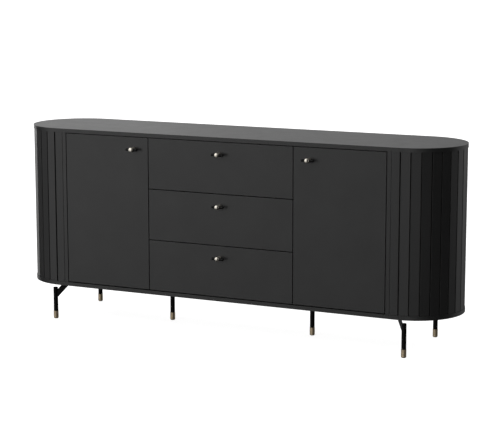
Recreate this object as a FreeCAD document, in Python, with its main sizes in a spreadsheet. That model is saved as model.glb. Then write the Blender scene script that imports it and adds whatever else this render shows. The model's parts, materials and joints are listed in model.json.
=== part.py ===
import FreeCAD, Part
import math
import os
import re
import Sketcher

# Sideboard with rounded slatted ends: a long, low cabinet whose plan is a stadium (two straight
# sides and two half-round ends), on six steel legs. Two doors flank a bank of three drawers.
#
# Frame: millimetres, +Z up, floor at z = 0, front towards -Y, the viewer's right is +X.
# The origin lies on the floor under the middle of the whole object, knobs included, so the
# cabinet itself sits centre_y behind it.

doc = FreeCAD.newDocument("Sideboard")
sheet = doc.addObject("Spreadsheet::Sheet", "Sizes")

SIZES = {
    # overall
    "width": 1900,
    "depth": 404,
    "body_height": 660,
    "underside": 149,
    "centre_y": 12,
    "board": 16,
    "setback": 3,
    "ease": 0.6,
    # carcass
    "side_inner": 705.5,
    "partition_centre": 319,
    "back_board": 6,
    "play": 1,
    # rounded ends
    "slat_thickness": 10,
    "slat_width": 36.1,
    "slat_pitch_deg": 11.6,
    "first_slat_deg": 3,
    "strip_start": 722.5,
    "strip_width": 33,
    "backing_thickness": 4,
    # fronts
    "gap": 3,
    "front_board": 16,
    "cup_radius": 17.5,
    "cup_depth": 11,
    "cup_from_edge": 22.5,
    "hinge_from_end": 95,
    "flange_width": 24,
    "flange_height": 52,
    "flange_steel": 1.2,
    "mount_steel": 3,
    "mount_depth": 46,
    "mount_height": 54,
    "hinge_arm_thick": 12,
    "hinge_arm_depth": 66,
    "hinge_arm_height": 15,
    "hinge_arm_start": 6,
    # shelves
    "shelf_recess": 28,
    "pin_radius": 2.5,
    "pin_length": 16,
    "pin_inset": 45,
    # drawer boxes
    "box_board": 12,
    "box_length": 340,
    "box_height": 130,
    "box_lift": 26,
    "box_base": 5,
    "base_lift": 10,
    "rail_space": 12.7,
    "rail_height": 40,
    "rail_length": 330,
    "rail_steel": 1.2,
    "rail_flange": 9,
    "rail_lift": 62,
    "rail_play": 2,
    # knobs
    "knob_reach": 27,
    "knob_radius": 9,
    "knob_drop": 49,
    "knob_inset": 65.5,
    "bar_radius": 5,
    "bar_length": 50,
    "bar_set_in": 9.5,
    "knob_rounding": 1.2,
    # legs
    "leg_radius": 9.6,
    "leg_wall": 1.5,
    "corner_leg_x": 778,
    "corner_leg_y": 184,
    "corner_leg_top": 134,
    "arm_depth": 23.8,
    "arm_width": 4,
    "arm_top_drop": 9,
    "arm_rounding": 0.6,
    "plate_size": 50,
    "plate_steel": 3,
    "tip_radius": 10.4,
    "tip_top": 32.5,
    "tip_floor": 4,
    "tip_play": 0.15,
    "glide_height": 2.5,
    "glide_radius": 8.5,
    "screw_radius": 2,
    "screw_head_radius": 4,
    "screw_head_height": 2,
    "screw_length": 12,
    "screw_inset": 9,
}
for row, (alias, size) in enumerate(SIZES.items(), start=1):
    sheet.set(f"A{row}", alias)
    sheet.set(f"B{row}", str(size))
    sheet.setAlias(f"B{row}", alias)
doc.recompute()

TINY = 1e-6
SLATS_PER_END = 15
SIDES = {"left": -1, "right": 1}
DRAWERS = ("bottom", "middle", "top")

# Places that several pieces share, written as formulas over the sheet's names.
FLOOR_IN = "(underside + board)"
CEILING_IN = "(underside + body_height - board)"
INSIDE_HEIGHT = "(body_height - 2*board)"
FRONT = "(centre_y - depth/2 + setback)"
BEHIND_FRONTS = f"({FRONT} + front_board)"
REAR = "(centre_y + depth/2 - setback)"
END_AXIS = "(width/2 - depth/2)"
SLAT_FACE = "(depth/2 - setback)"
BACKING_RADIUS = "(depth/2 - setback - slat_thickness - 0.2)"
BACKING_INSIDE = f"({BACKING_RADIUS} - backing_thickness)"
SIDE_OUTER = "(side_inner + board)"
PARTITION_FACE = "(partition_centre - board/2)"
FRONT_HEIGHT = f"({INSIDE_HEIGHT} - 2*gap)"
DRAWER_HEIGHT = f"(({FRONT_HEIGHT} - 2*gap)/3)"
DRAWER_WIDTH = "(2*partition_centre - gap)"
DOOR_WIDTH = "(side_inner - partition_centre - 1.5*gap)"
BOX_HALF = f"({PARTITION_FACE} - rail_space)"
PLATE_UNDER = "(underside - plate_steel)"


def formula(text):
    """Turn plain size names into references to the sheet's cells."""
    def cell(match):
        return f"Sizes.{match[1]}" if match[1] in SIZES else match[1]

    return re.sub(r"\b([a-z][a-z_]+)\b", cell, str(text))


def bind(item, **formulas):
    """Bind properties of an object; a double underscore stands for a dot."""
    for prop, text in formulas.items():
        item.setExpression(prop.replace("__", "."), formula(text))
    return item


def place(item, x="0", y="0", z="0", turn="0", axis=(0, 0, 1)):
    """Bind an object's position, and its turn in degrees about an axis."""
    item.Placement = FreeCAD.Placement(FreeCAD.Vector(), FreeCAD.Rotation(FreeCAD.Vector(*axis), 1))
    return bind(
        item,
        Placement__Base__x=x,
        Placement__Base__y=y,
        Placement__Base__z=z,
        Placement__Rotation__Angle=turn,
    )


nodes = {}


def node(name, *items):
    """Name a finished sub-part: one object, or several identical ones as a group."""
    if len(items) == 1:
        part = items[0]
    else:
        part = doc.addObject("Part::Compound", name)
        part.Links = list(items)
    part.Label = name
    nodes[name] = part
    return part


def new_body(name):
    return doc.addObject("PartDesign::Body", name)


def add_block(body, size, low=("0", "0", "0"), cut=False):
    """Add a block to a body, or cut one out of it, from its low corner."""
    kind = "PartDesign::SubtractiveBox" if cut else "PartDesign::AdditiveBox"
    feature = body.newObject(kind, body.Name + ("_cut" if cut else "_block"))
    bind(feature, Length=size[0], Width=size[1], Height=size[2])
    place(feature, *low)
    return feature


def add_rod(body, radius, length, foot=("0", "0", "0"), turn="0", axis=(0, 1, 0), cut=False):
    """Add a cylinder to a body, or bore one out of it; it starts at foot and runs along +Z,
    or where that direction points after the turn."""
    kind = "PartDesign::SubtractiveCylinder" if cut else "PartDesign::AdditiveCylinder"
    feature = body.newObject(kind, body.Name + ("_bore" if cut else "_rod"))
    bind(feature, Radius=radius, Height=length)
    place(feature, *foot, turn=turn, axis=axis)
    return feature


def ease(body, feature, wanted, kind="Chamfer", size="ease"):
    """Break the edges of a feature that a test picks out."""
    doc.recompute()
    names = [f"Edge{i}" for i, edge in enumerate(feature.Shape.Edges, start=1) if wanted(edge)]
    finish = body.newObject(f"PartDesign::{kind}", body.Name + "_edges")
    finish.Base = (feature, names)
    bind(finish, **({"Size": size} if kind == "Chamfer" else {"Radius": size}))
    return finish


def every_edge(edge):
    return True


def flat_edge(edge):
    return edge.BoundBox.ZLength < TINY


def every_round_edge(edge):
    return edge.Curve.TypeId == "Part::GeomCircle"


def ring_at(height):
    """Picks the round edges that lie flat at one height of a feature."""
    def wanted(edge):
        box = edge.BoundBox
        level = box.ZLength < TINY and abs(box.ZMin - height) < 1e-4
        return level and every_round_edge(edge)
    return wanted


def board(name, size, low, turn="0", pivot=None):
    """A board with its edges eased, from its low corner. With a pivot, low is counted from that
    point and the whole board is turned about the vertical line through it."""
    body = new_body(name)
    block = add_block(body, size, low if pivot else ("0", "0", "0"))
    ease(body, block, every_edge)
    place(body, *(pivot or low), turn=turn)
    return body


def sketch_on(body, plane):
    """Start a sketch on one of a body's own origin planes."""
    sketch = body.newObject("Sketcher::SketchObject", body.Name + "_sketch")
    support = next(item for item in body.Origin.OriginFeatures if item.Role == plane)
    sketch.AttachmentSupport = [(support, "")]
    sketch.MapMode = "FlatFace"
    return sketch


def pin_down(sketch, kind, *where, size, near=10.0):
    """Add a dimension to a sketch and bind it to a formula; near is the size it is drawn at."""
    index = sketch.addConstraint(Sketcher.Constraint(kind, *where, near))
    sketch.setExpression(f"Constraints[{index}]", formula(size))


def arc_about(x, radius, quarter):
    """A half circle about a point on the X axis, from a quarter turn onwards."""
    circle = Part.Circle(FreeCAD.Vector(x, 0, 0), FreeCAD.Vector(0, 0, 1), radius)
    return Part.ArcOfCircle(circle, quarter * math.pi / 2, (quarter + 2) * math.pi / 2)


def polygon(sketch, corners):
    """Draw a closed polygon whose corners are tied to formulas."""
    count = len(corners)
    spots = [FreeCAD.Vector(40, 0, 0)]
    turn = FreeCAD.Rotation(FreeCAD.Vector(0, 0, 1), 360 / count)
    for _ in range(count - 1):
        spots.append(turn.multVec(spots[-1]))
    for i in range(count):
        sketch.addGeometry(Part.LineSegment(spots[i], spots[(i + 1) % count]))
    for i in range(count):
        sketch.addConstraint(Sketcher.Constraint("Coincident", i, 2, (i + 1) % count, 1))
    for i, (across, up) in enumerate(corners):
        pin_down(sketch, "DistanceX", -1, 1, i, 1, size=across)
        pin_down(sketch, "DistanceY", -1, 1, i, 1, size=up)


def half_round(sketch, start, centre, radius):
    """Draw a D: straight from start to the centre's line, then a half circle, and back."""
    r = sheet.depth / 2
    x0, xc = sheet.side_inner + sheet.board, sheet.width / 2 - r
    spots = [FreeCAD.Vector(x, y, 0) for x, y in ((x0, -r), (xc, -r), (xc, r), (x0, r))]
    first = sketch.addGeometry(Part.LineSegment(spots[0], spots[1]))
    arc = sketch.addGeometry(arc_about(xc, r, -1))
    back = sketch.addGeometry(Part.LineSegment(spots[2], spots[3]))
    close = sketch.addGeometry(Part.LineSegment(spots[3], spots[0]))
    sketch.addConstraint(Sketcher.Constraint("Tangent", first, 2, arc, 1))
    sketch.addConstraint(Sketcher.Constraint("Tangent", arc, 2, back, 1))
    sketch.addConstraint(Sketcher.Constraint("Coincident", back, 2, close, 1))
    sketch.addConstraint(Sketcher.Constraint("Coincident", close, 2, first, 1))
    sketch.addConstraint(Sketcher.Constraint("Horizontal", first))
    sketch.addConstraint(Sketcher.Constraint("Vertical", close))
    sketch.addConstraint(Sketcher.Constraint("PointOnObject", arc, 3, -1))
    pin_down(sketch, "DistanceX", -1, 1, arc, 3, size=centre, near=xc)
    pin_down(sketch, "DistanceX", -1, 1, first, 1, size=start, near=x0)
    pin_down(sketch, "Radius", arc, size=radius, near=r)


def stadium(sketch, length, width):
    """Draw a stadium about the origin: two straight sides and two half-round ends."""
    r = sheet.depth / 2
    xc = sheet.width / 2 - r
    ends = FreeCAD.Vector(-xc, -r, 0), FreeCAD.Vector(xc, -r, 0)
    front = sketch.addGeometry(Part.LineSegment(*ends))
    right = sketch.addGeometry(arc_about(xc, r, -1))
    rear = sketch.addGeometry(Part.LineSegment(FreeCAD.Vector(xc, r, 0), FreeCAD.Vector(-xc, r, 0)))
    left = sketch.addGeometry(arc_about(-xc, r, 1))
    for one, other in ((front, right), (right, rear), (rear, left), (left, front)):
        sketch.addConstraint(Sketcher.Constraint("Tangent", one, 2, other, 1))
    sketch.addConstraint(Sketcher.Constraint("PointOnObject", right, 3, -1))
    sketch.addConstraint(Sketcher.Constraint("Symmetric", right, 3, left, 3, -1, 1))
    sketch.addConstraint(Sketcher.Constraint("Horizontal", front))
    pin_down(sketch, "Radius", right, size=f"({width})/2", near=r)
    pin_down(sketch, "DistanceX", left, 3, right, 3, size=f"({length}) - ({width})", near=2 * xc)


def pad(body, sketch, thickness, middle=False):
    """Pad a sketch; from the middle, the thickness lies half on each side of it."""
    feature = body.newObject("PartDesign::Pad", body.Name + "_pad")
    feature.Profile = sketch
    sketch.Visibility = False
    if middle:
        feature.SideType = "Symmetric"
    bind(feature, Length=thickness)
    return feature


def mirrored(sign, low, size):
    """The low X of a piece that is stated for the right-hand side."""
    return low if sign > 0 else f"-({low}) - ({size})"


# ---------------------------------------------------------------- carcass
def round_ended_panel(name, height):
    body = new_body(name)
    sketch = sketch_on(body, "XY_Plane")
    stadium(sketch, "width", "depth")
    slab = pad(body, sketch, "board")
    ease(body, slab, flat_edge)
    place(body, y="centre_y", z=height)
    return node(name, body)


round_ended_panel("top_panel", CEILING_IN)
round_ended_panel("bottom_panel", "underside")

for side, sign in SIDES.items():
    upright = ("board", f"{REAR} - {FRONT}", INSIDE_HEIGHT)
    low = (mirrored(sign, "side_inner", "board"), FRONT, FLOOR_IN)
    node(f"side_panel_{side}", board(f"side_{side}", upright, low))
    inner_depth = f"{REAR} - back_board - {BEHIND_FRONTS} - play"
    low = (mirrored(sign, PARTITION_FACE, "board"), f"{BEHIND_FRONTS} + play", FLOOR_IN)
    node(f"partition_{side}", board(f"divider_{side}", ("board", inner_depth, INSIDE_HEIGHT), low))

back_low = ("-side_inner", f"{REAR} - back_board", FLOOR_IN)
node("back_panel", board("back", ("2*side_inner", "back_board", INSIDE_HEIGHT), back_low))


# ---------------------------------------------------------------- rounded ends
def end_turn(sign):
    """Both ends are drawn for the right; the left one is turned half round the cabinet."""
    return "0" if sign > 0 else "180"


def end_slats(side, sign):
    slats = []
    for rank, low_y in enumerate((f"-{SLAT_FACE}", f"{SLAT_FACE} - slat_thickness")):
        size = ("strip_width", "slat_thickness", INSIDE_HEIGHT)
        pivot = ("0", "centre_y", FLOOR_IN)
        low = ("strip_start", low_y, "0")
        slats.append(board(f"strip_{side}_{rank}", size, low, end_turn(sign), pivot))
    for k in range(SLATS_PER_END):
        size = ("slat_width", "slat_thickness", INSIDE_HEIGHT)
        low = ("-slat_width/2", f"-{SLAT_FACE}", "0")
        pivot = (f"{sign}*{END_AXIS}", "centre_y", FLOOR_IN)
        turn = f"first_slat_deg + ({k} + 0.5)*slat_pitch_deg + {end_turn(sign)}"
        slats.append(board(f"slat_{side}_{k + 1}", size, low, turn, pivot))
    return node(f"end_slats_{side}", *slats)


def end_backing(side, sign):
    body = new_body(f"backing_{side}")
    outer = sketch_on(body, "XY_Plane")
    half_round(outer, SIDE_OUTER, END_AXIS, BACKING_RADIUS)
    pad(body, outer, INSIDE_HEIGHT)
    inner = sketch_on(body, "XY_Plane")
    half_round(inner, SIDE_OUTER, END_AXIS, BACKING_INSIDE)
    hollow = body.newObject("PartDesign::Pocket", body.Name + "_hollow")
    hollow.Profile = inner
    hollow.Reversed = True
    bind(hollow, Length=INSIDE_HEIGHT)
    place(body, y="centre_y", z=FLOOR_IN, turn=end_turn(sign))
    return node(f"end_backing_{side}", body)


def end_rib(side, sign, level):
    body = new_body(f"rib_{side}_{level}")
    sketch = sketch_on(body, "XY_Plane")
    half_round(sketch, SIDE_OUTER, END_AXIS, f"{BACKING_INSIDE} - 0.3")
    pad(body, sketch, "board")
    height = f"{FLOOR_IN} + {level}*{INSIDE_HEIGHT}/3 - board/2"
    place(body, y="centre_y", z=height, turn=end_turn(sign))
    return body


for side, sign in SIDES.items():
    end_slats(side, sign)
    end_backing(side, sign)
node("end_ribs", *(end_rib(side, sign, level) for side, sign in SIDES.items() for level in (1, 2)))


# ---------------------------------------------------------------- legs
LEG_FOOT = "(glide_height + tip_floor)"
ENDS = {"front": -1, "back": 1}
CORNER_LEGS = {f"{end}_{side}": (sx, sy) for end, sy in ENDS.items() for side, sx in SIDES.items()}
ARM_REACH = "(arm_depth*1.41421356)"
ARM_START = "(corner_leg_top - arm_top_drop - leg_radius)"
ARM_END = f"({PLATE_UNDER} - {ARM_START})"


def leg_tube(name, x, y, top):
    body = new_body(name)
    length = f"{top} - {LEG_FOOT}"
    add_rod(body, "leg_radius", length)
    bored = add_rod(body, "leg_radius - leg_wall", f"{length} - 2*leg_wall", cut=True)
    doc.recompute()
    ease(body, bored, ring_at(bored.Shape.BoundBox.ZMax))
    place(body, x, y, LEG_FOOT)
    return node(f"leg_{name}", body)


def diagonal(sx, sy):
    """The heading from a corner leg towards the middle of the cabinet, in degrees."""
    return {(-1, -1): 45, (1, -1): 135, (1, 1): 225, (-1, 1): 315}[sx, sy]


def leg_arm(name, x, y, heading):
    """A square-cut steel arm that rises at 45 degrees from the leg to the plate above."""
    body = new_body(f"arm_{name}")
    sketch = sketch_on(body, "XZ_Plane")
    corners = [
        ("0", f"{ARM_START} - {ARM_REACH}"),
        (f"{ARM_END} + {ARM_REACH}", PLATE_UNDER),
        (ARM_END, PLATE_UNDER),
        ("0", ARM_START),
    ]
    polygon(sketch, corners)
    bar = pad(body, sketch, "arm_width", middle=True)
    ease(body, bar, sloping_edge, kind="Fillet", size="arm_rounding")
    add_rod(body, "leg_radius + 0.05", "underside", cut=True)
    place(body, x, y, "0", turn=heading)
    return node(f"leg_arm_{name}", body)


def sloping_edge(edge):
    box = edge.BoundBox
    return box.YLength < TINY and box.XLength > 1 and box.ZLength > 1


def plate_corners():
    reach = "(plate_size/2 - screw_inset)"
    return [(f"{i}*{reach}", f"{j}*{reach}") for i in (-1, 1) for j in (-1, 1)]


def leg_plate(name, x, y, heading, offset):
    body = new_body(f"plate_{name}")
    low = (f"{offset} - plate_size/2", "-plate_size/2", "0")
    add_block(body, ("plate_size", "plate_size", "plate_steel"), low)
    for across, along in plate_corners():
        foot = (f"{offset} + {across}", along, "-1")
        add_rod(body, "screw_radius + 0.25", "plate_steel + 2", foot, cut=True)
    place(body, x, y, PLATE_UNDER, turn=heading)
    return body


def leg_screws(name, x, y, heading, offset):
    screws = []
    for number, (across, along) in enumerate(plate_corners()):
        body = new_body(f"screw_{name}_{number}")
        foot = (f"{offset} + {across}", along, "-screw_head_height")
        add_rod(body, "screw_head_radius", "screw_head_height", foot)
        add_rod(body, "screw_radius", "screw_length + screw_head_height + plate_steel", foot)
        place(body, x, y, PLATE_UNDER, turn=heading)
        screws.append(body)
    return screws


def leg_tip(name, x, y):
    body = new_body(f"tip_{name}")
    add_rod(body, "tip_radius", "tip_top - glide_height")
    cup = add_rod(body, "leg_radius + tip_play", "tip_top", ("0", "0", "tip_floor"), cut=True)
    ease(body, cup, ring_at(0))
    place(body, x, y, "glide_height")
    return body


def leg_glide(name, x, y):
    body = new_body(f"glide_{name}")
    disc = add_rod(body, "glide_radius", "glide_height")
    ease(body, disc, ring_at(0))
    place(body, x, y)
    return body


plates, screws, tips, glides = [], [], [], []
for name, (sx, sy) in CORNER_LEGS.items():
    x, y = f"{sx}*corner_leg_x", f"centre_y + {sy}*corner_leg_y"
    offset = f"({ARM_END} + {ARM_REACH}/2)"
    leg_tube(name, x, y, "corner_leg_top")
    leg_arm(name, x, y, diagonal(sx, sy))
    plates.append(leg_plate(name, x, y, diagonal(sx, sy), offset))
    screws += leg_screws(name, x, y, diagonal(sx, sy), offset)
    tips.append(leg_tip(name, x, y))
    glides.append(leg_glide(name, x, y))
for side, sign in SIDES.items():
    name, x, y = f"middle_{side}", f"{sign}*partition_centre", "centre_y"
    leg_tube(name, x, y, PLATE_UNDER)
    plates.append(leg_plate(name, x, y, "0", "0"))
    screws += leg_screws(name, x, y, "0", "0")
    tips.append(leg_tip(name, x, y))
    glides.append(leg_glide(name, x, y))
node("leg_plates", *plates)
node("leg_screws", *screws)
node("leg_tips", *tips)
node("leg_glides", *glides)

# ---------------------------------------------------------------- shelves
SHELF_FROM = f"({BEHIND_FRONTS} + shelf_recess)"
SHELF_TO = f"({REAR} - back_board - play)"
SHELF_START = "(partition_centre + board/2 + play)"
SHELF_WIDTH = f"(side_inner - play - {SHELF_START})"
SHELF_HEIGHT = f"({FLOOR_IN} + {INSIDE_HEIGHT}/2)"


def shelf_pin(name, x, y):
    body = new_body(name)
    add_rod(body, "pin_radius", "pin_length", turn="90")
    place(body, f"{x} - pin_length/2", y, f"{SHELF_HEIGHT} - pin_radius")
    return body


pins = []
for side, sign in SIDES.items():
    size = (SHELF_WIDTH, f"{SHELF_TO} - {SHELF_FROM}", "board")
    low = (mirrored(sign, SHELF_START, SHELF_WIDTH), SHELF_FROM, SHELF_HEIGHT)
    node(f"shelf_{side}", board(f"plank_{side}", size, low))
    for wall, x in (("side", "side_inner"), ("divider", "(partition_centre + board/2)")):
        for end, y in (("front", f"{SHELF_FROM} + pin_inset"), ("back", f"{SHELF_TO} - pin_inset")):
            pins.append(shelf_pin(f"pin_{side}_{wall}_{end}", f"{sign}*{x}", y))
node("shelf_pins", *pins)


# ---------------------------------------------------------------- knobs
def knob(owner, x, z):
    """A turned brass post standing on a front, and a black cross bar through it."""
    post = new_body(f"post_{owner}")
    barrel = add_rod(post, "knob_radius", "knob_reach")
    doc.recompute()
    ease(post, barrel, ring_at(barrel.Shape.BoundBox.ZMax), kind="Fillet", size="knob_rounding")
    start = ("-knob_radius - 1", "0", "knob_reach - bar_set_in")
    add_rod(post, "bar_radius + 0.02", "2*knob_radius + 2", start, turn="90", cut=True)
    place(post, x, FRONT, z, turn="90", axis=(1, 0, 0))
    node(f"{owner}_knob_post", post)
    bar = new_body(f"bar_{owner}")
    rod = add_rod(bar, "bar_radius", "bar_length", turn="90")
    ease(bar, rod, every_round_edge, kind="Fillet", size="knob_rounding")
    place(bar, f"{x} - bar_length/2", f"{FRONT} - knob_reach + bar_set_in", z)
    node(f"{owner}_knob_bar", bar)


# ---------------------------------------------------------------- doors
DOOR_Z = f"({FLOOR_IN} + gap)"
HINGE_LEVELS = {
    "low": f"({DOOR_Z} + hinge_from_end)",
    "high": f"({DOOR_Z} + {FRONT_HEIGHT} - hinge_from_end)",
}
CUP_X = "(side_inner - gap - cup_from_edge)"


def door_panel(side, sign):
    body = new_body(f"panel_{side}")
    slab = add_block(body, (DOOR_WIDTH, "front_board", FRONT_HEIGHT))
    ease(body, slab, every_edge)
    from_edge = "cup_from_edge" if sign < 0 else f"{DOOR_WIDTH} - cup_from_edge"
    bore = ("cup_radius + 0.1", "cup_depth + 1")
    for level in HINGE_LEVELS.values():
        foot = (from_edge, "front_board - cup_depth - 0.2", f"{level} - {DOOR_Z}")
        add_rod(body, *bore, foot, turn="-90", axis=(1, 0, 0), cut=True)
    place(body, mirrored(sign, "partition_centre + gap/2", DOOR_WIDTH), FRONT, DOOR_Z)
    return node(f"door_{side}_panel", body)


def hinge_cup(name, sign, level):
    """The cup sits in the door's bore, and its flange on the door's back."""
    body = new_body(f"cup_{name}")
    add_rod(body, "cup_radius", "cup_depth", turn="90", axis=(1, 0, 0))
    low = ("-flange_width/2", "0", "-flange_height/2")
    add_block(body, ("flange_width", "flange_steel", "flange_height"), low)
    place(body, f"{sign}*{CUP_X}", BEHIND_FRONTS, level)
    return body


def hinge_mount(name, sign, level):
    """A mounting plate on the side panel, with the hinge arm clipped over it."""
    body = new_body(f"mount_{name}")
    arm = ("hinge_arm_thick", "hinge_arm_depth", "hinge_arm_height")
    plate = ("mount_steel", "mount_depth", "mount_height")
    plate_start = "hinge_arm_start + hinge_arm_depth - mount_depth"
    for size, start in ((plate, plate_start), (arm, "hinge_arm_start")):
        add_block(body, size, (f"-{size[0]}" if sign > 0 else "0", start, f"-{size[2]}/2"))
    place(body, f"{sign}*side_inner", BEHIND_FRONTS, level)
    return body


mounts = []
for side, sign in SIDES.items():
    door_panel(side, sign)
    cups = [hinge_cup(f"{side}_{at}", sign, z) for at, z in HINGE_LEVELS.items()]
    node(f"hinge_cups_{side}", *cups)
    mounts += [hinge_mount(f"{side}_{at}", sign, z) for at, z in HINGE_LEVELS.items()]
    knob_x = f"{sign}*(partition_centre + gap/2 + knob_inset)"
    knob(f"door_{side}", knob_x, f"{DOOR_Z} + {FRONT_HEIGHT} - knob_drop")
node("hinge_mounts", *mounts)


# ---------------------------------------------------------------- drawers
def channel(name, way, x, z, height):
    """A folded steel runner with its web on a board; way is the side its flanges point to."""
    body = new_body(name)
    sketch = sketch_on(body, "XZ_Plane")
    wide, thick, tall = f"{way}*rail_flange", f"{way}*rail_steel", f"({height})/2"
    corners = [
        ("0", f"-{tall}"),
        (wide, f"-{tall}"),
        (wide, f"rail_steel - {tall}"),
        (thick, f"rail_steel - {tall}"),
        (thick, f"{tall} - rail_steel"),
        (wide, f"{tall} - rail_steel"),
        (wide, tall),
        ("0", tall),
    ]
    polygon(sketch, corners)
    strip = pad(body, sketch, "rail_length")
    strip.Reversed = True
    place(body, x, f"{BEHIND_FRONTS} + gap", z)
    return body


cabinet_rails = []
for level, drawer in enumerate(DRAWERS):
    owner = f"drawer_{drawer}"
    front_z = f"({FLOOR_IN} + gap + {level}*({DRAWER_HEIGHT} + gap))"
    box_z = f"({front_z} + box_lift)"
    rail_z = f"({box_z} + rail_lift)"
    low = (f"-{DRAWER_WIDTH}/2", FRONT, front_z)
    size = (DRAWER_WIDTH, "front_board", DRAWER_HEIGHT)
    node(f"{owner}_front", board(f"face_{drawer}", size, low))
    walls, rails = [], []
    for side, sign in SIDES.items():
        low = (mirrored(sign, f"{BOX_HALF} - box_board", "box_board"), BEHIND_FRONTS, box_z)
        size = ("box_board", "box_length", "box_height")
        walls.append(board(f"wall_{drawer}_{side}", size, low))
        name, x = f"rail_{drawer}_{side}", f"{sign}*{BOX_HALF}"
        rails.append(channel(name, sign, x, rail_z, "rail_height - 2*rail_steel - 2*rail_play"))
        name, x = f"track_{drawer}_{side}", f"{sign}*{PARTITION_FACE}"
        cabinet_rails.append(channel(name, -sign, x, rail_z, "rail_height"))
    node(f"{owner}_sides", *walls)
    node(f"{owner}_rails", *rails)
    inner_width = f"2*({BOX_HALF} - box_board)"
    low = (f"-({inner_width})/2", f"{BEHIND_FRONTS} + box_length - box_board", box_z)
    size = (inner_width, "box_board", "box_height")
    node(f"{owner}_back", board(f"rear_{drawer}", size, low))
    low = (f"-({inner_width})/2", BEHIND_FRONTS, f"{box_z} + base_lift")
    size = (inner_width, "box_length - box_board", "box_base")
    node(f"{owner}_base", board(f"base_{drawer}", size, low))
    knob(owner, "0", f"{front_z} + {DRAWER_HEIGHT} - knob_drop")
node("cabinet_rails", *cabinet_rails)

# ---------------------------------------------------------------- checks and files
doc.recompute()
failed = [item.Name for item in doc.Objects if "Invalid" in item.State or "Error" in item.State]
if failed:
    raise RuntimeError(f"did not compute: {failed}")
for name, part in nodes.items():
    if part.Shape.isNull() or not part.Shape.isValid():
        raise RuntimeError(f"{name} has no valid shape")

os.makedirs("parts", exist_ok=True)
for name, part in nodes.items():
    part.Shape.exportStep(f"parts/{name}.step")
    box = part.Shape.BoundBox
    print(f"{name:26s} solids {len(part.Shape.Solids):2d}  x {box.XMin:8.1f} {box.XMax:8.1f}"
          f"  y {box.YMin:7.1f} {box.YMax:7.1f}  z {box.ZMin:6.1f} {box.ZMax:6.1f}")
print(len(nodes), "nodes")
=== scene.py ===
import json
import math
import random

import bmesh
import bpy
from mathutils import Matrix, Vector


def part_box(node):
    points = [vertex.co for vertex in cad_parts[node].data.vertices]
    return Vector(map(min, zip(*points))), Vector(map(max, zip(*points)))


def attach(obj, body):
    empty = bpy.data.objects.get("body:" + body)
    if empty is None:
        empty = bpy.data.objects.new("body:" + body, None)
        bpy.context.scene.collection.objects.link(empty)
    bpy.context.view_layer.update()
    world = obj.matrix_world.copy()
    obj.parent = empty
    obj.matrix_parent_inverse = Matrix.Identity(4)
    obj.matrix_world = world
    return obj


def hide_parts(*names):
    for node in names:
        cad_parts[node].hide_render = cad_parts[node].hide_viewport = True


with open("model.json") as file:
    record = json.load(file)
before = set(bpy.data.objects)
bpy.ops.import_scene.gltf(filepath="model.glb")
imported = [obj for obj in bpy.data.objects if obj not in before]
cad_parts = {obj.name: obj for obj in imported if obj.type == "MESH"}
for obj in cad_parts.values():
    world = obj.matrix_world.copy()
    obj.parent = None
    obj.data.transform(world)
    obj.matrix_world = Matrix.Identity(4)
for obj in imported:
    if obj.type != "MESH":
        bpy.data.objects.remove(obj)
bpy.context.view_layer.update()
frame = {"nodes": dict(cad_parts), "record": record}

MM = 0.001
# Bands to the unit in a sine wave texture of scale 1: 20 / (2 pi).
WAVE_BANDS = 3.1831
SIDES = {"left": -1, "right": 1}
DRAWERS = ("bottom", "middle", "top")


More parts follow.
